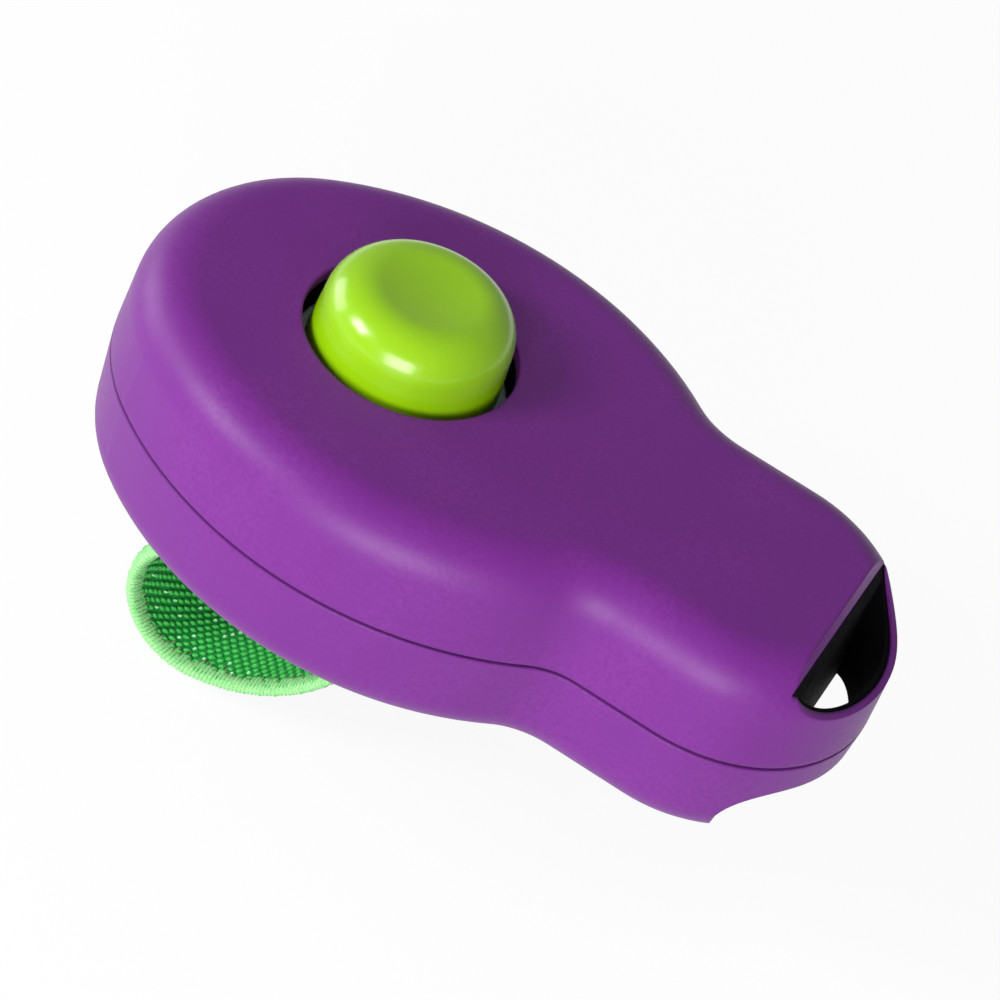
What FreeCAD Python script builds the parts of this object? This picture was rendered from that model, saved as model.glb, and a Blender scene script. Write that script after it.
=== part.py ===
import FreeCAD, Part
import math
import os

# Finger-worn clicker trainer. Millimetres, +Z up.
# The origin lies on the flat base, half way along the body. +X points at the nose, and the XZ plane is
# the symmetry plane of everything except the cross recesses of the screws.

Vector = FreeCAD.Vector
UP = Vector(0, 0, 1)
ACROSS = Vector(0, 1, 0)

# ---- driving sizes -------------------------------------------------------------------------------
# housing, seen from above: a wide rear lobe that narrows to a neck with a half-round nose
body_length = 66.0
body_width = 40.4
neck_width = 25.4
side_radius = 29.2          # flat-ish sides of the lobe
rear_turn = 51.3            # degrees of the rear arc on each side of the tail
blend_radius = 6.1          # hollow curve between lobe and neck
# housing, seen from the side
lower_height = 9.3          # base to parting plane
upper_height = 9.2          # parting plane to top
wall = 2.0
draft = 3.0                 # degrees, both shells narrow away from the parting plane
top_edge_radius = 4.2
base_edge_radius = 3.6
# the joint between the shells
seam_gap = 0.3
seam_depth = 0.5
lip_inset = 1.3
lip_height = 0.9
lip_clearance = 0.06
# nose tunnel for a lanyard
nose_wall = 0.55
nose_panel = 0.5            # wall between the works and the tunnel
scoop_radius = 5.3          # hollow cut at the top of the nose
scoop_setback = 0.6         # centre of that cut behind the nose tip
rim_drop = 4.4              # top of the nose bar below the top face
under_radius = 4.5          # hollow cut under the nose
under_setback = 1.5
under_rise = 6.4            # underside of the nose bar above the base
liner_wall = 0.4
liner_clearance = 0.05
liner_recess = 0.2            # liner below the edge of the hollow cuts
liner_rear_top = 0.4        # thickness of its rear wall at the top and at the base
liner_rear_bottom = 1.6
liner_tab = (2.4, 8.0, 2.0)  # length, width, height
# thumb button
button_from_tail = 21.76    # button axis in front of the tail
button_radius = 7.7         # where it passes the top face
button_rise = 5.0           # above the top face
button_draft = 4.0
button_edge = 3.2
button_dish = 9.0           # degrees that the hollow top rises at its rim
button_wall = 1.9           # also the thickness of its middle
skirt_depth = 2.5           # below the top face
button_gap = 0.94           # to the hole, at the top face
button_travel = 1.5
# ring that guides the button
ring_wall = 0.8
ring_depth = 3.3            # lower edge below the top face
ring_land = 1.0             # top face left above the ring
ring_flange = (1.35, 1.0)   # reach and thickness
fit_clearance = 0.05
# core that joins button and click plate
core_height = 3.6
core_below_skirt = 0.6
foot_radius = 3.0
foot_clearance = 0.1
arm_drop = 0.1              # top of the lug arms below the skirt
lug_width = 3.0
lug_leg = 0.5               # thickness of a leg
lug_hook = 1.4              # reach of a hook
lug_inset = 0.34            # outside of the legs from the bore of the guide ring
lug_gap = 0.15              # hooks below the ring when the button is up
lug_depth = 1.3
# click plate
plate_thickness = 0.4
plate_clearance = 0.3       # to the legs of the lugs
plate_below_ring = 0.5
plate_tail = 10.8           # behind the button axis
hinge_from_button = 15.24
plate_tab = 2.0
plate_corner = 2.0
dimple_radius = 2.6
dimple_depth = 0.5
dimple_from_button = 8.0
slot_clearance = 0.35
# frame that carries the click plate
frame_over_band = 0.25      # underside above the folded ends of the band
frame_thickness = 1.5
frame_width = 19.6
frame_rim = (1.0, 2.0)      # thickness and height of the side rims
frame_tail = 15.0           # behind the button axis
frame_tongue = (5.76, 7.0)  # length and width of the narrow front end
rear_screw_inset = 2.2      # frame screws from the ends of the frame
front_screw_inset = 3.0
block_length = 6.0
block_width = 17.0
retainer_height = 1.2
retainer_screw_inset = (1.9, 2.0)   # from the front and the side of the block
ear_half = 1.5              # half length of the ears that hold the bars down
ear_clearance = 0.6         # to the edge of the band
# finger band
band_thickness = 1.3
band_width = 20.0
band_slot_clearance = 0.35
band_from_button = 3.46     # rear slot behind the button axis
band_exit_bend = 1.6
band_lean = 52.9            # degrees rearwards as it leaves the rear slot
band_straight = 5.72
band_bulge_radius = 6.13
band_bulge_turn = 154.9
band_front_radius = 15.85
band_front_turn = 64.7
band_front_bend = 3.0
bar_radius = 1.0
bar_overhang = 3.2          # each side of the band
saddle_size = (4.0, 2.8)    # length and width of the posts under the bar ends
saddle_clearance = 0.5      # to the edge of the band
# screws: shank radius, head radius, head height, length under the head
housing_screw = (1.0, 1.9, 1.3, 12.0)
small_screw = (0.7, 1.4, 0.8, 4.0)
pilot_clearance = 0.03
shank_clearance = 0.2
cross_recess = (0.7, 0.25)  # reach as a share of the head radius, half width as a share of the shank's
boss_wall = 1.6
counterbore_wall = 0.7
post_root = 1.0             # how far posts run into the floor and the top
head_depth = 3.0            # head seats above the base
rear_post_from_button = 2.4  # in front of the button axis
rear_post_from_axis = 14.6
front_post_from_nose = 15.5
front_post_from_axis = 7.2
overshoot = 1.0             # how far a cutting tool runs past a face

# ---- sizes that follow ---------------------------------------------------------------------------
tail_x = -body_length / 2
nose_x = body_length / 2
parting_z = lower_height
top_z = lower_height + upper_height
button_x = tail_x + button_from_tail
ceiling_z = top_z - wall
hole_radius = button_radius + button_gap
ring_bottom = top_z - ring_depth
skirt_bottom = top_z - skirt_depth
plate_top = ring_bottom - plate_below_ring
plate_bottom = plate_top - plate_thickness
hinge_x = button_x + hinge_from_button
panel_x = nose_x - scoop_setback - scoop_radius     # crease where the nose is cut away
pocket_x = panel_x + nose_panel
works_x = panel_x - nose_panel
rear_slot_x = button_x - band_from_button
slot_width = band_thickness + 2 * band_slot_clearance
bar_z = wall + band_thickness + bar_radius + 2 * fit_clearance
bar_half = band_width / 2 + bar_overhang
lug_out = hole_radius - lug_inset
plate_width = 2 * (lug_out - lug_leg - plate_clearance)
frame_base = bar_z + bar_radius + fit_clearance + band_thickness + frame_over_band
frame_floor = frame_base + frame_thickness
frame_rear = button_x - frame_tail
frame_front = hinge_x + block_length + frame_tongue[0]


# ---- small helpers -------------------------------------------------------------------------------
def box(x, y, z):
    """A box from three (low, high) pairs."""
    size = [high - low for low, high in (x, y, z)]
    return Part.makeBox(*size, Vector(x[0], y[0], z[0]))


def centred(x, width, z):
    """A box with its middle on the symmetry plane."""
    return box(x, (-width / 2, width / 2), z)


def post(x, y, z_low, z_high, radius):
    return Part.makeCylinder(radius, z_high - z_low, Vector(x, y, z_low))


def turned(points, x):
    """A solid turned about the upright line through x, from (radius, height) points."""
    wire = Part.makePolygon([Vector(x + r, 0, z) for r, z in points + points[:1]])
    return Part.Face(wire).revolve(Vector(x, 0, 0), UP, 360)


def mirrored(shape):
    return shape.mirror(Vector(0, 0, 0), ACROSS)


def both_sides(shape):
    return [shape, mirrored(shape)]


def fused(shapes):
    return shapes[0].multiFuse(shapes[1:]).removeSplitter()


def lines_through(points):
    return [Part.makeLine(a, b) for a, b in zip(points, points[1:])]


def profile_across(wire, width):
    """Extrude a wire in the XZ plane by width, centred on the symmetry plane."""
    return Part.Face(wire).extrude(ACROSS * width).translated(ACROSS * (-width / 2))


# ---- housing outline -----------------------------------------------------------------------------
def outline(inset, z):
    """The housing seen from above, moved inwards by inset, as eight tangent edges at height z."""
    turn = math.radians(rear_turn)
    quarter = math.pi / 2
    rear_radius = side_radius - (side_radius - body_width / 2) / math.sin(turn)
    rear_centre = tail_x + rear_radius
    side_x = rear_centre + (side_radius - rear_radius) * math.cos(turn)
    side_y = body_width / 2 - side_radius
    blend_y = neck_width / 2 + blend_radius
    reach = side_radius + blend_radius
    blend_x = side_x + math.sqrt(reach ** 2 - (blend_y - side_y) ** 2)
    nose_radius = neck_width / 2 - inset
    nose_centre = nose_x - neck_width / 2
    blend_turn = math.atan2(blend_y - side_y, blend_x - side_x)

    def at(x, y, radius, angle, side):
        return Vector(x + radius * math.cos(angle), side * (y + radius * math.sin(angle)), z)

    def half(side):
        """Start points and middle points of one side, from the tail to the nose."""
        rear_end = at(rear_centre, 0, rear_radius - inset, math.pi - turn, side)
        side_mid = at(side_x, side_y, side_radius - inset, (math.pi - turn + blend_turn) / 2, side)
        side_end = at(side_x, side_y, side_radius - inset, blend_turn, side)
        blend_middle = (blend_turn - math.pi - quarter) / 2
        blend_mid = at(blend_x, blend_y, blend_radius + inset, blend_middle, side)
        neck_start = Vector(blend_x, side * nose_radius, z)
        neck_end = Vector(nose_centre, side * nose_radius, z)
        return rear_end, side_mid, side_end, blend_mid, neck_start, neck_end

    left = half(1)
    right = half(-1)
    tail = Vector(tail_x + inset, 0, z)
    nose = Vector(nose_x - inset, 0, z)
    edges = [
        Part.Arc(right[0], tail, left[0]).toShape(),
        Part.Arc(left[0], left[1], left[2]).toShape(),
        Part.Arc(left[2], left[3], left[4]).toShape(),
        Part.makeLine(left[4], left[5]),
        Part.Arc(left[5], nose, right[5]).toShape(),
        Part.makeLine(right[5], right[4]),
        Part.Arc(right[4], right[3], right[2]).toShape(),
        Part.Arc(right[2], right[1], right[0]).toShape(),
    ]
    return Part.Wire(edges)


def prism(inset, z_low, z_high):
    return Part.Face(outline(inset, z_low)).extrude(UP * (z_high - z_low))


def drafted(inset, z_parting, z_end, edge_radius):
    """A block that narrows from the parting plane to z_end, with a rounded edge there."""
    narrowing = abs(z_end - z_parting) * math.tan(math.radians(draft))
    wires = [outline(inset, z_parting), outline(inset + narrowing, z_end)]
    block = Part.makeLoft(wires, True, True)
    rim = [e for e in block.Edges if all(abs(v.Point.z - z_end) < 1e-6 for v in e.Vertexes)]
    return block.makeFillet(edge_radius, rim)


def ring_of(inset_out, inset_in, z_low, z_high):
    return prism(inset_out, z_low, z_high).cut(prism(inset_in, z_low, z_high))


# ---- nose ----------------------------------------------------------------------------------------
def corner_cut(x, z, radius, side):
    """What a round hollow across the nose takes away, from its centre up (side 1) or down (side -1)."""
    eighth = radius * math.sqrt(0.5)
    start = Vector(x - radius, 0, z)
    middle = Vector(x - eighth, 0, z - side * eighth)
    apex = Vector(x, 0, z - side * radius)
    far = nose_x + wall
    end_z = top_z + wall if side > 0 else -wall
    corners = [apex, Vector(far, 0, apex.z), Vector(far, 0, end_z), Vector(start.x, 0, end_z), start]
    edges = [Part.Arc(start, middle, apex).toShape()] + lines_through(corners)
    return profile_across(Part.Wire(edges), body_width)


def scoop(recess):
    """The hollow cut at the top of the nose, lowered by recess."""
    z = top_z - rim_drop + scoop_radius
    return corner_cut(nose_x - scoop_setback, z, scoop_radius + recess, 1)


def under_scoop(recess):
    """The hollow cut under the nose, raised by recess."""
    z = under_rise - under_radius
    return corner_cut(nose_x - under_setback, z, under_radius + recess, -1)


def drafted_both_ways(inset):
    """The whole nose height at one inset, following the draft of both shells."""
    narrowing = math.tan(math.radians(draft))
    lower = [outline(inset + parting_z * narrowing, 0), outline(inset, parting_z)]
    upper = [outline(inset, parting_z), outline(inset + upper_height * narrowing, top_z)]
    return fused([Part.makeLoft(lower, True, True), Part.makeLoft(upper, True, True)])


def in_front_of(x):
    return centred((x, nose_x + wall), 2 * body_width, (-wall, top_z + wall))


def behind(x):
    return centred((tail_x - wall, x), 2 * body_width, (-wall, top_z + wall))


def nose_pocket():
    return drafted_both_ways(nose_wall).common(in_front_of(pocket_x))


def liner_tab_box(clearance):
    length, width, height = liner_tab
    x = (pocket_x - length - clearance, pocket_x + liner_rear_top)
    half = height / 2 + clearance
    return centred(x, width + 2 * clearance, (parting_z - half, parting_z + half))


def lanyard_tunnel():
    """The space inside the liner: its rear wall leans forward as it goes down."""
    lean = [
        Vector(pocket_x + liner_rear_top, 0, top_z),
        Vector(nose_x + wall, 0, top_z),
        Vector(nose_x + wall, 0, 0),
        Vector(pocket_x + liner_rear_bottom, 0, 0),
    ]
    wedge = profile_across(Part.makePolygon(lean + lean[:1]), body_width)
    return drafted_both_ways(nose_wall + liner_clearance + liner_wall).common(wedge)


def nose_liner():
    shell = drafted_both_ways(nose_wall + liner_clearance)
    shell = shell.common(in_front_of(pocket_x + liner_clearance))
    shell = shell.cut(lanyard_tunnel())
    shell = shell.fuse(liner_tab_box(0)).removeSplitter()
    return shell.cut(scoop(liner_recess)).cut(under_scoop(liner_recess))


# ---- screws --------------------------------------------------------------------------------------
def screw(x, y, seat_z, size, head_up):
    """A pan-head screw whose head bears at seat_z. head_up is 1 when it goes in from above."""
    shank, head, head_height, length = size
    body = Part.makeCylinder(shank, length, Vector(x, y, seat_z), UP * -head_up)
    cap = Part.makeCylinder(head, head_height, Vector(x, y, seat_z), UP * head_up)
    top = seat_z + head_up * head_height
    z = sorted((top, top - head_up * head_height / 2))
    arm = head * cross_recess[0]
    blade = shank * cross_recess[1]
    cross = [
        box((x - arm, x + arm), (y - blade, y + blade), z),
        box((x - blade, x + blade), (y - arm, y + arm), z),
    ]
    return body.fuse(cap).removeSplitter().cut(fused(cross))


def housing_posts():
    """The (x, y) places of the four posts that the housing screws hold together."""
    front_x = nose_x - front_post_from_nose
    places = [(button_x + rear_post_from_button, rear_post_from_axis), (front_x, front_post_from_axis)]
    return [(x, side * y) for x, y in places for side in (1, -1)]


def frame_posts():
    """The two places where the frame is screwed to the lower shell."""
    return [(frame_rear + rear_screw_inset, 0), (frame_front - front_screw_inset, 0)]


def retainer_places():
    from_front, from_side = retainer_screw_inset
    x = hinge_x + block_length - from_front
    return [(x, side * (block_width / 2 - from_side)) for side in (1, -1)]


def housing_screws():
    return Part.makeCompound([screw(x, y, head_depth, housing_screw, -1) for x, y in housing_posts()])


def frame_screws():
    return Part.makeCompound([screw(x, y, frame_floor, small_screw, 1) for x, y in frame_posts()])


def retainer_screws():
    seat = plate_top + slot_clearance + retainer_height - small_screw[2]
    return Part.makeCompound([screw(x, y, seat, small_screw, 1) for x, y in retainer_places()])


# ---- housing shells ------------------------------------------------------------------------------
def works_space(edge_inset, z_end, edge_radius):
    """The hollow of one shell, behind the nose panel."""
    return drafted(edge_inset, parting_z, z_end, edge_radius).common(behind(works_x))


def seam_groove():
    half = seam_gap / 2
    return ring_of(-wall, seam_depth, parting_z - half, parting_z + half)


def ring_seat_radius():
    return hole_radius + ring_wall + fit_clearance


def upper_shell():
    outer = drafted(0, parting_z, top_z, top_edge_radius)
    shell = outer.cut(works_space(wall, ceiling_z, top_edge_radius - wall))
    pilot = housing_screw[0] + pilot_clearance
    boss = pilot + boss_wall
    posts = [post(x, y, parting_z, ceiling_z + post_root, boss) for x, y in housing_posts()]
    shell = fused([shell] + [p.common(outer) for p in posts])
    rabbet_top = parting_z + lip_height + lip_clearance
    rabbet = ring_of(lip_inset - lip_clearance, wall + lip_inset, parting_z, rabbet_top)
    shell = shell.cut(rabbet.common(behind(works_x - wall)).cut(fused(posts)))
    tip = head_depth + housing_screw[3] + shank_clearance
    cuts = [post(x, y, parting_z, tip, pilot) for x, y in housing_posts()]
    cuts.append(post(button_x, 0, ceiling_z - overshoot, top_z + overshoot, hole_radius))
    cuts.append(post(button_x, 0, ceiling_z - overshoot, top_z - ring_land, ring_seat_radius()))
    shell = shell.cut(fused(cuts))
    for tool in (nose_pocket(), scoop(0), liner_tab_box(liner_clearance), seam_groove()):
        shell = shell.cut(tool)
    return shell


def lower_shell():
    outer = drafted(0, parting_z, 0, base_edge_radius)
    shell = outer.cut(works_space(wall, wall, base_edge_radius - wall))
    bearing = housing_screw[0] + shank_clearance
    counterbore = housing_screw[1] + shank_clearance
    foot = wall - post_root
    posts = [post(x, y, foot, parting_z, counterbore + counterbore_wall) for x, y in housing_posts()]
    posts += [post(x, y, foot, frame_base, small_screw[0] + boss_wall) for x, y in frame_posts()]
    posts += saddles()
    lip = ring_of(lip_inset, wall, parting_z - post_root, parting_z + lip_height)
    lip = lip.common(behind(works_x - wall))
    shell = fused([shell, lip] + [p.common(outer) for p in posts])
    cuts = []
    for x, y in housing_posts():
        cuts.append(post(x, y, -overshoot, head_depth, counterbore))
        cuts.append(post(x, y, head_depth, parting_z + overshoot, bearing))
    for x, y in frame_posts():
        depth = small_screw[3] - frame_thickness + shank_clearance
        cuts.append(post(x, y, frame_base - depth, frame_base, small_screw[0] + pilot_clearance))
    for x in (rear_slot_x, front_slot_x()):
        slot = (x - slot_width / 2, x + slot_width / 2)
        cuts.append(centred(slot, band_width + 2 * band_slot_clearance, (-overshoot, wall + overshoot)))
    cuts += [bar(x, bar_radius + fit_clearance, fit_clearance) for x in (rear_slot_x, front_slot_x())]
    shell = shell.cut(fused(cuts))
    for tool in (nose_pocket(), under_scoop(0), liner_tab_box(liner_clearance), seam_groove()):
        shell = shell.cut(tool)
    return shell


def guide_ring():
    reach, thickness = ring_flange
    outer = hole_radius + ring_wall
    top = top_z - ring_land - fit_clearance
    under = ceiling_z - fit_clearance
    points = [
        (hole_radius, ring_bottom), (outer, ring_bottom), (outer, under - thickness),
        (outer + reach, under - thickness), (outer + reach, under), (outer, under),
        (outer, top), (hole_radius, top),
    ]
    return turned(points, button_x)


# ---- thumb button --------------------------------------------------------------------------------
def thumb_button():
    """A hollow cap: drafted side, rounded edge and a shallow hollow top that runs smoothly into it."""
    side = math.radians(button_draft)
    rise = math.radians(button_dish)
    crown = top_z + button_rise
    edge_z = crown - button_edge
    edge_r = button_radius - (edge_z - top_z) * math.tan(side) - button_edge / math.cos(side)
    dish_radius = edge_r / math.sin(rise) - button_edge
    middle_z = edge_z + button_edge * math.cos(rise) - dish_radius * (1 - math.cos(rise))

    def on_edge(angle):
        x = button_x + edge_r + button_edge * math.cos(angle)
        return Vector(x, 0, edge_z + button_edge * math.sin(angle))

    def on_dish(angle):
        x = button_x + dish_radius * math.sin(angle)
        return Vector(x, 0, middle_z + dish_radius * (1 - math.cos(angle)))

    dish_end = math.pi / 2 + rise
    skirt = Vector(button_x + button_radius + skirt_depth * math.tan(side), 0, skirt_bottom)
    bore_top = middle_z - button_wall
    corners = [
        on_edge(side), skirt, Vector(button_x + core_radius(), 0, skirt_bottom),
        Vector(button_x + core_radius(), 0, bore_top), Vector(button_x, 0, bore_top), on_dish(0),
    ]
    edges = [
        Part.Arc(on_dish(0), on_dish(rise / 2), on_edge(dish_end)).toShape(),
        Part.Arc(on_edge(dish_end), on_edge((dish_end + side) / 2), on_edge(side)).toShape(),
    ]
    edges += lines_through(corners)
    return Part.Face(Part.Wire(edges)).revolve(Vector(button_x, 0, 0), UP, 360)


def core_radius():
    return button_radius - button_wall


def button_core():
    """The plug inside the cap, with the foot that meets the click plate and two retaining lugs."""
    plug_bottom = skirt_bottom - core_below_skirt
    foot_z = plate_top + foot_clearance + foot_radius
    plug = post(button_x, 0, plug_bottom, plug_bottom + core_height, core_radius() - fit_clearance)
    foot = Part.makeSphere(foot_radius, Vector(button_x, 0, foot_z))
    x = (button_x - lug_width / 2, button_x + lug_width / 2)
    arm_top = skirt_bottom - arm_drop
    hook_top = ring_bottom - lug_gap
    bottom = hook_top - lug_depth
    arm = box(x, (0, lug_out), (plug_bottom - arm_drop, arm_top))
    leg = box(x, (lug_out - lug_leg, lug_out), (bottom, arm_top))
    hook = box(x, (lug_out - lug_leg, lug_out + lug_hook), (bottom, hook_top))
    return fused([plug, foot] + both_sides(arm) + both_sides(leg) + both_sides(hook))


# ---- click works ---------------------------------------------------------------------------------
def click_plate():
    """A spring strip with a pressed dimple. Its front tab is held in the frame's slot."""
    x = (button_x - plate_tail, hinge_x + plate_tab)
    strip = centred(x, plate_width, (plate_bottom, plate_top))
    upright = [e for e in strip.Edges if e.BoundBox.ZLength > plate_thickness / 2
               and e.BoundBox.XMax < button_x]
    strip = strip.makeFillet(plate_corner, upright)
    bowl_radius = (dimple_radius ** 2 + dimple_depth ** 2) / (2 * dimple_depth)
    centre = Vector(button_x + dimple_from_button, 0, plate_top + bowl_radius - dimple_depth)
    inner = Part.makeSphere(bowl_radius, centre)
    outer = Part.makeSphere(bowl_radius + plate_thickness, centre)
    below = centred(x, plate_width, (plate_bottom - 2 * dimple_depth, plate_bottom + plate_thickness / 2))
    bowl = outer.common(below)
    return strip.fuse(bowl).removeSplitter().cut(inner)


def click_frame():
    """The tray that carries the click plate, with a slotted block at its front."""
    floor = (frame_base, frame_floor)
    block_x = (hinge_x, hinge_x + block_length)
    tray = centred((frame_rear, block_x[1]), frame_width, floor)
    tongue = centred((frame_rear, frame_front), frame_tongue[1], floor)
    block = centred(block_x, block_width, (frame_base, plate_bottom - slot_clearance))
    thickness, height = frame_rim
    rim_y = (frame_width / 2 - thickness, frame_width / 2)
    rim = box((frame_rear, hinge_x), rim_y, (frame_base, frame_floor + height))
    ears = []
    for slot_x in (rear_slot_x, front_slot_x()):
        ear_x = (slot_x - ear_half, slot_x + ear_half)
        ear_y = (band_width / 2 + ear_clearance, bar_half)
        ears.append(box(ear_x, (0, bar_half), floor))
        ears.append(box(ear_x, ear_y, (bar_z + bar_radius + fit_clearance, frame_floor)))
    ears += [mirrored(ear) for ear in ears]
    frame = fused([tray, tongue, block] + both_sides(rim) + ears)
    clear = small_screw[0] + shank_clearance
    pilot = small_screw[0] + pilot_clearance
    top = plate_top + slot_clearance + retainer_height
    tip = top - small_screw[2] - small_screw[3] - shank_clearance
    cuts = [post(x, y, frame_base - overshoot, frame_floor + overshoot, clear) for x, y in frame_posts()]
    cuts += [post(x, y, tip, top, pilot) for x, y in retainer_places()]
    return frame.cut(fused(cuts))


def plate_retainer():
    """The cap screwed over the block. Its rear part stands clear of the plate and forms the slot."""
    low = plate_top + slot_clearance
    top = low + retainer_height
    seat = top - small_screw[2]
    slot = (plate_bottom - slot_clearance, low)
    x = (hinge_x, hinge_x + block_length)
    cap = centred(x, block_width, (low, top))
    heel = centred((hinge_x + plate_tab + slot_clearance, x[1]), block_width, slot)
    cheek = box(x, (plate_width / 2 + slot_clearance, block_width / 2), slot)
    retainer = fused([cap, heel] + both_sides(cheek))
    cuts = []
    for px, py in retainer_places():
        cuts.append(post(px, py, plate_bottom - overshoot, top, small_screw[0] + shank_clearance))
        cuts.append(post(px, py, seat, top + overshoot, small_screw[1] + shank_clearance))
    return retainer.cut(fused(cuts))


# ---- finger band ---------------------------------------------------------------------------------
class Path:
    """A run of tangent lines and arcs in the XZ plane."""

    def __init__(self, x, z, heading):
        self.x, self.z, self.heading = x, z, math.radians(heading)
        self.start = (x, z)
        self.start_heading = self.heading
        self.steps = []

    def straight(self, length):
        self.x += length * math.cos(self.heading)
        self.z += length * math.sin(self.heading)
        self.steps.append(("line", self.heading, (self.x, self.z)))

    def bend(self, radius, turn):
        """Positive turn is to the left of the way the path runs."""
        side = 1 if turn > 0 else -1
        cx = self.x - side * radius * math.sin(self.heading)
        cz = self.z + side * radius * math.cos(self.heading)
        middle = self.heading + math.radians(turn) / 2
        self.heading += math.radians(turn)
        ends = []
        for heading in (middle, self.heading):
            ends.append((cx + side * radius * math.sin(heading), cz - side * radius * math.cos(heading)))
        self.x, self.z = ends[1]
        self.steps.append(("arc", self.heading, ends[1], middle, ends[0]))


def band_path():
    """The middle line of the band from the top of the rear slot, round the loop, to the front slot."""
    path = Path(rear_slot_x, wall, -90)
    path.straight(wall)
    path.bend(band_exit_bend, -band_lean)
    path.straight(band_straight)
    path.bend(band_bulge_radius, band_bulge_turn)
    path.bend(band_front_radius, band_front_turn)
    left = 180 + band_lean - band_bulge_turn - band_front_turn
    rise_in_bend = band_front_bend * math.sin(math.radians(left))
    path.straight((-path.z - rise_in_bend) / math.sin(path.heading))
    path.bend(band_front_bend, left)
    path.straight(wall)
    return path


def front_slot_x():
    return band_path().x


def offset_edges(path, offset):
    """The path's edges moved to its left by offset."""
    def moved(point, heading):
        return Vector(point[0] - offset * math.sin(heading), 0, point[1] + offset * math.cos(heading))

    edges = []
    at = moved(path.start, path.start_heading)
    for kind, heading, end_point, *halfway in path.steps:
        end = moved(end_point, heading)
        if kind == "line":
            edges.append(Part.makeLine(at, end))
        else:
            middle_heading, middle_point = halfway
            edges.append(Part.Arc(at, moved(middle_point, middle_heading), end).toShape())
        at = end
    return edges


def bar(x, radius, extra):
    """A round bar across the housing over a band slot."""
    half = bar_half + extra
    return Part.makeCylinder(radius, 2 * half, Vector(x, -half, bar_z), ACROSS)


def finger_band():
    """One flat strap. Each end is folded round its bar and sewn to itself."""
    path = band_path()
    half = band_thickness / 2
    left = offset_edges(path, half)
    right = offset_edges(path, -half)
    ends = [Part.makeLine(left[0].Vertexes[0].Point, right[0].Vertexes[0].Point),
            Part.makeLine(left[-1].Vertexes[-1].Point, right[-1].Vertexes[-1].Point)]
    loop = profile_across(Part.Wire(Part.__sortEdges__(left + right + ends)), band_width)
    pieces = [loop]
    holes = []
    for x in (rear_slot_x, path.x):
        fold = bar_radius + fit_clearance + band_thickness
        start = Vector(x, -band_width / 2, bar_z)
        pieces.append(Part.makeCylinder(fold, band_width, start, ACROSS))
        pieces.append(centred((x - half, x + half), band_width, (wall - fit_clearance, bar_z)))
        holes.append(Part.makeCylinder(bar_radius + fit_clearance, band_width, start, ACROSS))
    return fused(pieces).cut(fused(holes))


def saddles():
    """Posts in the lower shell, grooved for the bar ends."""
    length, width = saddle_size
    posts = []
    for x in (rear_slot_x, front_slot_x()):
        inner = band_width / 2 + saddle_clearance
        side = (inner, inner + width)
        posts += both_sides(box((x - length / 2, x + length / 2), side, (wall - post_root, bar_z)))
    return posts


# ---- parts ---------------------------------------------------------------------------------------
def all_parts():
    return {
        "upper_shell": upper_shell(),
        "lower_shell": lower_shell(),
        "guide_ring": guide_ring(),
        "thumb_button": thumb_button(),
        "button_core": button_core(),
        "click_plate": click_plate(),
        "click_frame": click_frame(),
        "plate_retainer": plate_retainer(),
        "retainer_screws": retainer_screws(),
        "frame_screws": frame_screws(),
        "housing_screws": housing_screws(),
        "nose_liner": nose_liner(),
        "finger_band": finger_band(),
        "band_bar_rear": bar(rear_slot_x, bar_radius, 0),
        "band_bar_front": bar(front_slot_x(), bar_radius, 0),
    }


os.makedirs("parts", exist_ok=True)
for name, shape in all_parts().items():
    shape.exportStep(os.path.join("parts", name + ".step"))
    print(name, "solids", len(shape.Solids), "volume", round(shape.Volume, 1), "valid", shape.isValid())
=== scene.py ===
import bisect
import bpy
import math
from mathutils import Matrix, Vector


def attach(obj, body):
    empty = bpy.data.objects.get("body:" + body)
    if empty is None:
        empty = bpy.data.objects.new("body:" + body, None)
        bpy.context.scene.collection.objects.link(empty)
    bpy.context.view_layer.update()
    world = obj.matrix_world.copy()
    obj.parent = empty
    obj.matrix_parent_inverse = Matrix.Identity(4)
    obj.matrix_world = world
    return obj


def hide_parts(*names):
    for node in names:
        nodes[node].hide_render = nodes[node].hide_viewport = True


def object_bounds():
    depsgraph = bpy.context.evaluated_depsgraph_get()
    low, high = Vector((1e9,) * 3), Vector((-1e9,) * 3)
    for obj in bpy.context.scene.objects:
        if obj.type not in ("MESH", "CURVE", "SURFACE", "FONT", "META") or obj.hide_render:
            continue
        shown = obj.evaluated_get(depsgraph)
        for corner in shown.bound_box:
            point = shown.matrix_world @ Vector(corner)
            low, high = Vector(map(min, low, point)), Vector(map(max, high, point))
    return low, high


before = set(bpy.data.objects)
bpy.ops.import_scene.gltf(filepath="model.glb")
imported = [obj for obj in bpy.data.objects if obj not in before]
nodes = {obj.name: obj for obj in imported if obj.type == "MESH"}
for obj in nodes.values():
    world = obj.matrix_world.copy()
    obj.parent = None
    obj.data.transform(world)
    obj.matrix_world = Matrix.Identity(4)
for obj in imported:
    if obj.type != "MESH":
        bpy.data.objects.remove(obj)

# Metres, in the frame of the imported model: +X to the nose, +Z up, origin on the flat base.

MM = 0.001
cad_low, cad_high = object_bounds()
scene = bpy.context.scene


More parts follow.
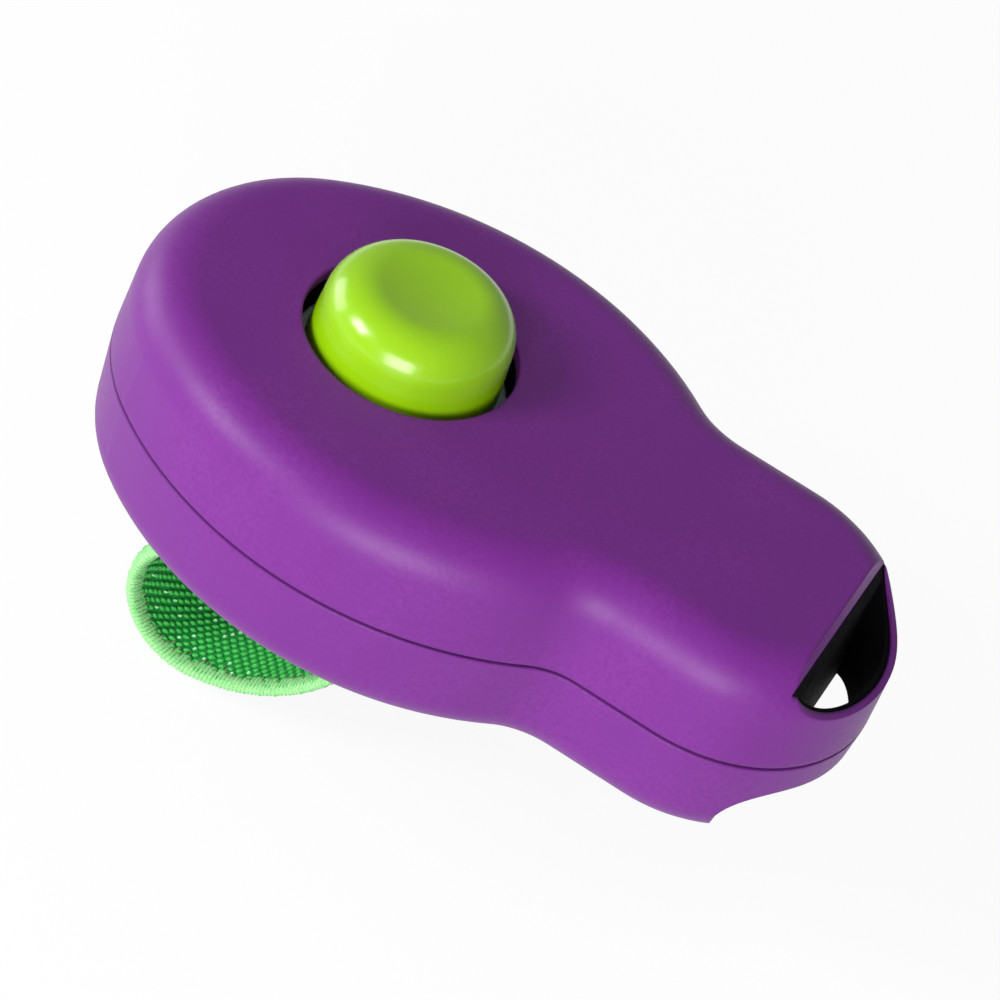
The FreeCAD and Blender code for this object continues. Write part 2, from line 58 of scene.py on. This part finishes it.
# ---- node helpers --------------------------------------------------------------------------------
class Recipe:
    """A procedural material: a Principled shader and the nodes that feed it."""

    def __init__(self, name):
        self.material = bpy.data.materials.new(name)
        self.material.use_nodes = True
        self.tree = self.material.node_tree
        self.shader = self.tree.nodes["Principled BSDF"]
        self.place = self.add("ShaderNodeTexCoord").outputs["Object"]

    def add(self, kind, **settings):
        node = self.tree.nodes.new(kind)
        for key, value in settings.items():
            setattr(node, key, value)
        return node

    def link(self, source, target):
        self.tree.links.new(source, target)

    def set(self, **values):
        for key, value in values.items():
            self.shader.inputs[key.replace("_", " ")].default_value = value

    def noise(self, size, detail=3.0):
        """Noise whose largest features are about size metres across."""
        node = self.add("ShaderNodeTexNoise")
        node.inputs["Scale"].default_value = 1 / size
        node.inputs["Detail"].default_value = detail
        self.link(self.place, node.inputs["Vector"])
        return node.outputs["Fac"]

    def ramp(self, source, low, high, stops=(0.35, 0.65)):
        """Colours or greys between two values."""
        node = self.add("ShaderNodeValToRGB")
        for element, value, stop in zip(node.color_ramp.elements, (low, high), stops):
            element.color = (*value, 1)
            element.position = stop
        self.link(source, node.inputs["Fac"])
        return node.outputs["Color"]

    def mix(self, factor, first, second):
        """Blend two colour outputs or constants by a factor output."""
        node = self.add("ShaderNodeMix", data_type="RGBA")
        self.link(factor, node.inputs["Factor"])
        for socket, value in ((node.inputs[6], first), (node.inputs[7], second)):
            if isinstance(value, tuple):
                socket.default_value = (*value, 1)
            else:
                self.link(value, socket)
        return node.outputs[2]

    def speckle(self, size, base, grain):
        """A base colour with a second colour showing through in specks about size metres across."""
        return self.mix(self.ramp(self.noise(size), (0, 0, 0), (1, 1, 1)), base, grain)

    def math(self, operation, first, second):
        """Combine an output with another output or a number."""
        node = self.add("ShaderNodeMath", operation=operation)
        self.link(first, node.inputs[0])
        if isinstance(second, float):
            node.inputs[1].default_value = second
        else:
            self.link(second, node.inputs[1])
        return node.outputs[0]

    def colour(self, source):
        self.link(source, self.shader.inputs["Base Color"])

    def roughness(self, source, low, high):
        """Let the roughness wander between two values."""
        self.link(self.ramp(source, (low,) * 3, (high,) * 3), self.shader.inputs["Roughness"])

    def bump(self, height, distance, strength=0.5, edge=0.0):
        """Fine relief. With edge, sharp corners also catch the light as if rounded to that radius."""
        node = self.add("ShaderNodeBump")
        node.inputs["Distance"].default_value = distance
        node.inputs["Strength"].default_value = strength
        self.link(height, node.inputs["Height"])
        if edge:
            rounding = self.add("ShaderNodeBevel", samples=6)
            rounding.inputs["Radius"].default_value = edge
            self.link(rounding.outputs["Normal"], node.inputs["Normal"])
        self.link(node.outputs["Normal"], self.shader.inputs["Normal"])


def linear(red, green, blue):
    """A display colour, 0 to 255, as the linear values that a shader takes."""
    out = []
    for value in (red, green, blue):
        share = value / 255
        out.append(share / 12.92 if share <= 0.04045 else ((share + 0.055) / 1.055) ** 2.4)
    return tuple(out)


# ---- materials -----------------------------------------------------------------------------------
def housing_plastic():
    """Satin purple moulding with a fine spark-eroded grain."""
    m = Recipe("housing_purple")
    tone = m.ramp(m.noise(9 * MM, 2), linear(101, 32, 120), linear(107, 37, 125))
    m.colour(m.speckle(0.35 * MM, tone, linear(99, 30, 118)))
    m.roughness(m.noise(0.5 * MM), 0.41, 0.45)
    m.bump(m.noise(0.16 * MM, 4), 0.004 * MM, edge=0.4 * MM)
    m.set(Specular_IOR_Level=0.25)
    return m.material


def button_plastic():
    """Glossy lime moulding with slightly uneven tone."""
    m = Recipe("button_lime")
    tone = m.ramp(m.noise(6 * MM, 2), linear(126, 174, 5), linear(133, 180, 9))
    m.colour(m.speckle(0.3 * MM, tone, linear(129, 177, 7)))
    m.roughness(m.noise(1.1 * MM), 0.2, 0.27)
    m.bump(m.noise(0.4 * MM, 2), 0.0015 * MM, strength=0.4)
    m.set(Coat_Weight=0.25, Coat_Roughness=0.12, Specular_IOR_Level=0.4)
    return m.material


def black_plastic_and_painted_shade():
    """Matt black moulding with a fine grain. On the nose liner it is painted shade: black lining where the
    tunnel's walls are only in deep shadow.
    """
    m = Recipe("black_moulding")
    m.colour(m.ramp(m.noise(2 * MM), linear(4, 3, 6), linear(7, 6, 11)))
    m.roughness(m.noise(0.6 * MM), 0.7, 0.85)
    m.set(Specular_IOR_Level=0.08)
    m.bump(m.noise(0.18 * MM), 0.004 * MM)
    return m.material


LINE_STRETCH = 0.03          # the strip's rolled lines are drawn out along its length by the inverse


def pale_steel_with_painted_light():
    """Rolled strip: fine lines along its length and a pale blue-grey tint, lightened to near white as
    painted light so the plate, in shade below the guide ring, looks lit.
    """
    m = Recipe("spring_steel")
    stretch = m.add("ShaderNodeMapping")
    stretch.inputs["Scale"].default_value = (LINE_STRETCH, 1, 1)
    m.link(m.place, stretch.inputs["Vector"])
    lines = m.add("ShaderNodeTexNoise")
    lines.inputs["Scale"].default_value = 1 / (0.08 * MM)
    m.link(stretch.outputs["Vector"], lines.inputs["Vector"])
    # Near-white tint: painted light that lifts the shaded plate.
    tint = m.ramp(m.noise(4 * MM), linear(206, 230, 240), linear(226, 240, 246))
    m.colour(m.mix(lines.outputs["Fac"], tint, linear(214, 234, 242)))
    m.roughness(lines.outputs["Fac"], 0.24, 0.38)
    m.bump(lines.outputs["Fac"], 0.002 * MM, strength=0.4)
    m.set(Metallic=0.1)
    return m.material


def screw_steel():
    """Plain bright steel, faintly mottled."""
    m = Recipe("screw_steel")
    m.colour(m.ramp(m.noise(0.9 * MM), linear(150, 150, 152), linear(178, 178, 180)))
    m.roughness(m.noise(0.3 * MM), 0.28, 0.45)
    m.bump(m.noise(0.1 * MM), 0.003 * MM)
    m.set(Metallic=1.0)
    return m.material


def yarn(name, dark, light, sheen):
    """Fine twisted fibre: streaks of two tones with a soft sheen."""
    m = Recipe(name)
    m.colour(m.ramp(m.noise(0.16 * MM, 4), dark, light, stops=(0.3, 0.7)))
    m.roughness(m.noise(0.2 * MM), 0.62, 0.85)
    m.bump(m.noise(0.09 * MM), 0.02 * MM, strength=0.6)
    m.set(Sheen_Weight=sheen, Sheen_Roughness=0.4)
    return m.material


# ---- finger band ---------------------------------------------------------------------------------
# All its sizes are in millimetres. The loop's middle line is straight runs and arcs in the XZ plane, as in
# the solid model, from the top of the rear slot to the top of the front slot.
ACROSS = Vector((0, 1, 0))
BAND_THICKNESS = 1.3
BAND_WIDTH = 20.0
BASE_WALL = 2.0              # of the housing, which the band passes through in its slots
REAR_SLOT_X = -14.7
STRAIGHT_DOWN = math.radians(-90)
BAND_RUNS = [("straight", BASE_WALL), ("bend", 1.6, -52.9), ("straight", 5.72), ("bend", 6.13, 154.9),
             ("bend", 15.85, 64.7)]
FRONT_BEND = 3.0             # radius where the band turns up into the front slot

GROUND_INSET = (0.25, 0.2)   # strap under the yarns, in from the half width and the half thickness
GROUND_EDGE_STEPS = 11       # facets round each of its edges

STITCH_PITCH = 0.86
STITCH_ROW_PITCH = 0.56
STITCH_MARGIN = 1.8          # width left free of stitches at the two edges together
STITCH_SIZE = (0.62, 0.42, 0.26)
STITCH_GROWTH = (0.2, 0.06)  # how much longer and higher a stitch may be
STITCH_SUNK = 0.26           # its foot below the full thickness
STITCH_LEAN = 24             # degrees
STITCH_WANDER = 22           # degrees that the lean varies by
STITCH_SHIFT = 0.06          # how far a stitch may wander sideways
STITCH_RINGS = 4
STITCH_SIDES = 8
PALE_ABOVE = 0.93            # this share of the stitches is plain, and the rest are pale
PALE_SCALE = 0.55            # length and width of a pale stitch, as a share of a plain one's

EDGE_PITCH = 0.36
EDGE_START = 0.6             # as a share of the base wall
EDGE_YARN = 0.2              # radius
EDGE_END = 0.55              # yarn radius at its tucked ends, as a share
EDGE_REACH = (1.0, 0.9)      # shortest half reach over the strap and what chance adds
EDGE_SINK = 0.18             # yarn line below the full half thickness
EDGE_SLANT = 0.42            # how far a loop runs along the band from face to face
EDGE_STEPS = 9
EDGE_SIDES = 6
EDGE_SEED = 4.1              # sets the two edges' loops apart


def chance(i, row=0, seed=0):
    """A repeatable number from 0 to 1 that looks random. The constants only scatter the values."""
    value = math.sin(i * 12.9898 + row * 78.233 + seed) * 43758.5453
    return value - math.floor(value)


def band_line(step):
    """Points (x, z, heading) along the band's middle line, about step apart, in millimetres."""
    x, z, heading = REAR_SLOT_X, BASE_WALL, STRAIGHT_DOWN
    points = [(x, z, heading)]

    def straight(length):
        nonlocal x, z
        count = max(2, round(length / step))
        for i in range(count):
            x += length / count * math.cos(heading)
            z += length / count * math.sin(heading)
            points.append((x, z, heading))

    def bend(radius, degrees):
        nonlocal x, z, heading
        turn = math.radians(degrees)
        side = math.copysign(1, turn)
        cx = x - side * radius * math.sin(heading)
        cz = z + side * radius * math.cos(heading)
        count = max(4, round(abs(turn) * radius / step))
        for i in range(count):
            heading += turn / count
            x = cx + side * radius * math.sin(heading)
            z = cz - side * radius * math.cos(heading)
            points.append((x, z, heading))

    draw = {"straight": straight, "bend": bend}
    for kind, *values in BAND_RUNS:
        draw[kind](*values)
    left = 90 - math.degrees(heading) % 360
    rise = FRONT_BEND * math.sin(math.radians(left))
    straight((-z - rise) / math.sin(heading))
    bend(FRONT_BEND, left)
    straight(BASE_WALL)
    return points


def new_object(name, verts, faces, material):
    """A smooth mesh object from corners in millimetres."""
    mesh = bpy.data.meshes.new(name)
    mesh.from_pydata([v * MM for v in verts], [], faces)
    mesh.materials.append(material)
    for polygon in mesh.polygons:
        polygon.use_smooth = True
    obj = bpy.data.objects.new(name, mesh)
    scene.collection.objects.link(obj)
    return obj


def line_lengths(points):
    """The distance along the line of each of its points."""
    total = 0
    lengths = [0]
    for a, b in zip(points, points[1:]):
        total += math.hypot(b[0] - a[0], b[1] - a[1])
        lengths.append(total)
    return lengths


def directions(heading):
    """Unit vectors along the band and towards the inside of the loop."""
    along = Vector((math.cos(heading), 0, math.sin(heading)))
    inward = Vector((-math.sin(heading), 0, math.cos(heading)))
    return along, inward


def frame_at(points, lengths, distance):
    """Place and directions at a distance along the band's middle line."""
    k = min(bisect.bisect_right(lengths, distance), len(lengths) - 1)
    share = (distance - lengths[k - 1]) / (lengths[k] - lengths[k - 1])
    x, z, heading = (a + (b - a) * share for a, b in zip(points[k - 1], points[k]))
    along, inward = directions(heading)
    return Vector((x, 0, z)), along, inward


def tube_faces(start, rings, around):
    """The side faces of rings of corners, numbered from start."""
    faces = []
    for ring in range(rings - 1):
        a = start + ring * around
        b = a + around
        for k in range(around):
            n = (k + 1) % around
            faces.append((a + k, a + n, b + n, b + k))
    return faces


def end_face(start, around, turned):
    """One face across a ring of corners. Turned, it looks back along the tube."""
    face = tuple(range(start, start + around))
    return face[::-1] if turned else face


def band_ground(points, material):
    """The closed strap under the yarns, with rounded edges."""
    half_t = BAND_THICKNESS / 2 - GROUND_INSET[1]
    half_w = BAND_WIDTH / 2 - GROUND_INSET[0]
    section = []
    for k in range(GROUND_EDGE_STEPS + 1):
        angle = math.pi * k / GROUND_EDGE_STEPS - math.pi / 2
        section.append((half_w - half_t + half_t * math.cos(angle), half_t * math.sin(angle)))
    section += [(-across, up) for across, up in reversed(section)]
    verts = []
    for x, z, heading in points:
        inward = directions(heading)[1]
        verts += [Vector((x, across, z)) + inward * up for across, up in section]
    count = len(section)
    faces = tube_faces(0, len(points), count)
    faces.append(end_face(0, count, False))
    faces.append(end_face((len(points) - 1) * count, count, True))
    return new_object("finger_band_ground", verts, faces, material)


def stitch(foot, long_way, wide_way, up, size, verts, faces):
    """One raised stitch: a low rounded lump on a closed foot."""
    start = len(verts)
    length, width, height = size
    for ring in range(STITCH_RINGS):
        lift = math.pi / 2 * ring / STITCH_RINGS
        spread = math.cos(lift) / 2
        for k in range(STITCH_SIDES):
            angle = 2 * math.pi * k / STITCH_SIDES
            flat = long_way * (length * math.cos(angle)) + wide_way * (width * math.sin(angle))
            verts.append(foot + flat * spread + up * (height * math.sin(lift)))
    verts.append(foot + up * height)
    faces += tube_faces(start, STITCH_RINGS, STITCH_SIDES)
    last = start + (STITCH_RINGS - 1) * STITCH_SIDES
    crown = last + STITCH_SIDES
    for k in range(STITCH_SIDES):
        faces.append((last + k, last + (k + 1) % STITCH_SIDES, crown))
    faces.append(end_face(start, STITCH_SIDES, True))


def band_stitches(points, lengths, materials, face_side):
    """Rows of raised stitches on one face of the strap, staggered from row to row, a few of them pale."""
    length = lengths[-1] - 2 * BASE_WALL
    rows = int((BAND_WIDTH - STITCH_MARGIN) / STITCH_ROW_PITCH)
    meshes = [([], []) for _ in materials]
    for row in range(rows):
        y = (row - (rows - 1) / 2) * STITCH_ROW_PITCH
        offset = (row % 2) * STITCH_PITCH / 2
        for i in range(int((length - offset) / STITCH_PITCH)):
            luck = chance(i, row, face_side)
            distance = BASE_WALL + offset + (i + 0.5) * STITCH_PITCH
            place, along, inward = frame_at(points, lengths, distance)
            up = inward * face_side
            place += ACROSS * (y + (luck - 0.5) * STITCH_SHIFT) + up * (BAND_THICKNESS / 2 - STITCH_SUNK)
            lean = math.radians(STITCH_LEAN * face_side + (luck - 0.5) * STITCH_WANDER)
            long_way = along * math.cos(lean) + ACROSS * math.sin(lean)
            wide_way = ACROSS * math.cos(lean) - along * math.sin(lean)
            kind = int(luck > PALE_ABOVE)
            scale = PALE_SCALE if kind else 1.0
            size = (
                (STITCH_SIZE[0] + STITCH_GROWTH[0] * luck) * scale,
                STITCH_SIZE[1] * scale,
                STITCH_SIZE[2] + STITCH_GROWTH[1] * luck,
            )
            stitch(place, long_way, wide_way, up, size, *meshes[kind])
    side_name = "inner" if face_side > 0 else "outer"
    return [new_object("band_stitch_%s_%d" % (side_name, kind), *meshes[kind], materials[kind])
            for kind in range(len(materials))]


def edge_loop(place, along, inward, side, reach):
    """The middle line of one loop of yarn, from the outer face of the strap over its edge to the inner."""
    line = []
    for k in range(EDGE_STEPS):
        share = k / (EDGE_STEPS - 1)
        angle = math.pi * share - math.pi / 2
        across = BAND_WIDTH / 2 - EDGE_YARN - (1 - math.cos(angle)) * reach
        up = (BAND_THICKNESS / 2 - EDGE_SINK) * math.sin(angle)
        line.append(place + ACROSS * (side * across) + inward * up + along * ((share - 0.5) * EDGE_SLANT))
    return line


def band_edge(points, lengths, material, side):
    """The overlocked edge: slanting loops of yarn wrapped over the strap's edge."""
    margin = BASE_WALL * EDGE_START
    count = int((lengths[-1] - 2 * margin) / EDGE_PITCH)
    verts = []
    faces = []
    last = EDGE_STEPS - 1
    for i in range(count):
        reach = EDGE_REACH[0] + EDGE_REACH[1] * chance(i, seed=side * EDGE_SEED)
        place, along, inward = frame_at(points, lengths, margin + i * EDGE_PITCH)
        line = edge_loop(place, along, inward, side, reach)
        start = len(verts)
        for k, centre in enumerate(line):
            ahead = (line[min(k + 1, last)] - line[max(k - 1, 0)]).normalized()
            first = ahead.cross(along).normalized()
            second = ahead.cross(first)
            radius = EDGE_YARN * (EDGE_END if k in (0, last) else 1)
            for j in range(EDGE_SIDES):
                angle = 2 * math.pi * j / EDGE_SIDES
                verts.append(centre + (first * math.cos(angle) + second * math.sin(angle)) * radius)
        faces += tube_faces(start, EDGE_STEPS, EDGE_SIDES)
        faces.append(end_face(start, EDGE_SIDES, True))
        faces.append(end_face(start + last * EDGE_SIDES, EDGE_SIDES, False))
    return new_object("band_edge_%s" % ("left" if side > 0 else "right"), verts, faces, material)


def finger_band():
    """The woven elastic: a ground strap, stitches on both faces and an overlocked edge each side."""
    points = band_line(step=0.35)
    lengths = line_lengths(points)
    ground = yarn("band_ground", linear(0, 146, 56), linear(0, 164, 66), 0.15)
    raised = yarn("band_stitch", linear(16, 158, 58), linear(72, 184, 78), 0.15)
    pale = yarn("band_stitch_pale", linear(112, 200, 124), linear(168, 222, 166), 0.3)
    edge = yarn("band_edge", linear(96, 184, 98), linear(160, 208, 148), 0.1)
    pieces = [band_ground(points, ground)]
    for face_side in (1, -1):
        pieces += band_stitches(points, lengths, [raised, pale], face_side)
    pieces += [band_edge(points, lengths, edge, side) for side in (1, -1)]
    for piece in pieces:
        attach(piece, "housing")
    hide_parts("finger_band")


# ---- CAD nodes -----------------------------------------------------------------------------------
def dress_nodes():
    """Give every solid its material."""
    housing = housing_plastic()
    black = black_plastic_and_painted_shade()
    steel = screw_steel()
    finishes = {
        "upper_shell": housing, "lower_shell": housing, "thumb_button": button_plastic(),
        "guide_ring": black, "button_core": black, "click_frame": black, "plate_retainer": black,
        # The click plate's near-white steel is painted light on a part that sits in shade.
        # The nose liner's black is painted shade for the deep tunnel inside the nose.
        "nose_liner": black, "click_plate": pale_steel_with_painted_light(), "retainer_screws": steel,
        "frame_screws": steel, "housing_screws": steel, "band_bar_rear": steel, "band_bar_front": steel,
    }
    for name, material in finishes.items():
        for material_slot in nodes[name].material_slots:
            material_slot.material = material


# ---- stage, lights and camera --------------------------------------------------------------------
def white_stage():
    """A pale floor under the loop that reads as white to the camera and keeps a soft shadow."""
    reach = 2.0
    height = cad_low.z - 0.5 * MM
    mesh = bpy.data.meshes.new("floor")
    corners = [(x * reach, y * reach, height) for x, y in ((-1, -1), (1, -1), (1, 1), (-1, 1))]
    mesh.from_pydata(corners, [], [(0, 1, 2, 3)])
    m = Recipe("floor_white")
    m.colour(m.ramp(m.noise(40 * MM), (0.86, 0.86, 0.86), (0.88, 0.88, 0.88)))
    m.set(Roughness=0.9)
    whiten(m, share=0.9)
    mesh.materials.append(m.material)
    floor = bpy.data.objects.new("floor", mesh)
    scene.collection.objects.link(floor)


def whiten(recipe, share):
    """Show this share of plain white to the camera, mirrors and glass. The rest is the lit floor."""
    tree = recipe.tree
    path = tree.nodes.new("ShaderNodeLightPath")
    seen = recipe.math("MAXIMUM", path.outputs["Is Camera Ray"], path.outputs["Is Glossy Ray"])
    seen = recipe.math("MAXIMUM", seen, path.outputs["Is Transmission Ray"])
    glow = tree.nodes.new("ShaderNodeEmission")
    mix = tree.nodes.new("ShaderNodeMixShader")
    tree.links.new(recipe.math("MULTIPLY", seen, share), mix.inputs[0])
    tree.links.new(recipe.shader.outputs[0], mix.inputs[1])
    tree.links.new(glow.outputs[0], mix.inputs[2])
    tree.links.new(mix.outputs[0], tree.nodes["Material Output"].inputs["Surface"])


def world_light(strength):
    """An even light from all round, which the camera sees as white."""
    world = bpy.data.worlds.new("studio")
    scene.world = world
    world.use_nodes = True
    tree = world.node_tree
    tree.nodes.clear()
    path = tree.nodes.new("ShaderNodeLightPath")
    seen = tree.nodes.new("ShaderNodeMath")
    seen.operation = "MAXIMUM"
    tree.links.new(path.outputs["Is Camera Ray"], seen.inputs[0])
    tree.links.new(path.outputs["Is Transmission Ray"], seen.inputs[1])
    lit = tree.nodes.new("ShaderNodeBackground")
    lit.inputs["Color"].default_value = (1, 1, 1, 1)
    lit.inputs["Strength"].default_value = strength
    white = tree.nodes.new("ShaderNodeBackground")
    white.inputs["Strength"].default_value = 1.0
    white.inputs["Color"].default_value = (1, 1, 1, 1)
    mix = tree.nodes.new("ShaderNodeMixShader")
    tree.links.new(seen.outputs[0], mix.inputs[0])
    tree.links.new(lit.outputs[0], mix.inputs[1])
    tree.links.new(white.outputs[0], mix.inputs[2])
    tree.links.new(mix.outputs[0], tree.nodes.new("ShaderNodeOutputWorld").inputs[0])


def area_light(name, place, target, size, power):
    """A square lamp that faces its target. Power is in watts."""
    light = bpy.data.lights.new(name, "AREA")
    light.size = size
    light.energy = power
    obj = bpy.data.objects.new(name, light)
    obj.location = place
    obj.rotation_euler = (Vector(target) - Vector(place)).to_track_quat("-Z", "Y").to_euler()
    scene.collection.objects.link(obj)


def lights():
    """A soft key beyond the tail on the near side, and two fills for the near wall and the tail."""
    world_light(0.42)
    area_light("key", (-0.42, -0.34, 0.3), (0, 0, 0.01), 0.2, 2.6)
    area_light("near_fill", (0.1, -0.55, 0.14), (0, 0, 0.0), 0.3, 3.4)
    area_light("rear_fill", (-0.5, 0.04, 0.04), (-0.02, 0, 0.01), 0.3, 1.5)


CAMERA_PLACE = Vector((37.715, -198.276, 188.048)) * MM
CAMERA_AZIMUTH = math.radians(10.72)     # round from the near side
CAMERA_ELEVATION = math.radians(41.53)
CAMERA_ROLL = math.radians(25.02)


def camera():
    """A long lens that looks down on the near side, rolled so that the nose points down to the right."""
    data = bpy.data.cameras.new("camera")
    data.sensor_width = 36.0
    data.lens = 126.0
    data.clip_start = 0.01
    level = math.cos(CAMERA_ELEVATION)
    back = Vector((
        math.sin(CAMERA_AZIMUTH) * level,
        -math.cos(CAMERA_AZIMUTH) * level,
        math.sin(CAMERA_ELEVATION),
    ))
    level_right = Vector((math.cos(CAMERA_AZIMUTH), math.sin(CAMERA_AZIMUTH), 0))
    level_up = back.cross(level_right)
    right = level_right * math.cos(CAMERA_ROLL) + level_up * math.sin(CAMERA_ROLL)
    up = back.cross(right)
    rows = [(right[i], up[i], back[i], CAMERA_PLACE[i]) for i in range(3)]
    obj = bpy.data.objects.new("camera", data)
    obj.matrix_world = Matrix(rows + [(0, 0, 0, 1)])
    scene.collection.objects.link(obj)
    scene.camera = obj


scene.view_settings.view_transform = "Standard"
camera()
finger_band()
dress_nodes()
white_stage()
lights()
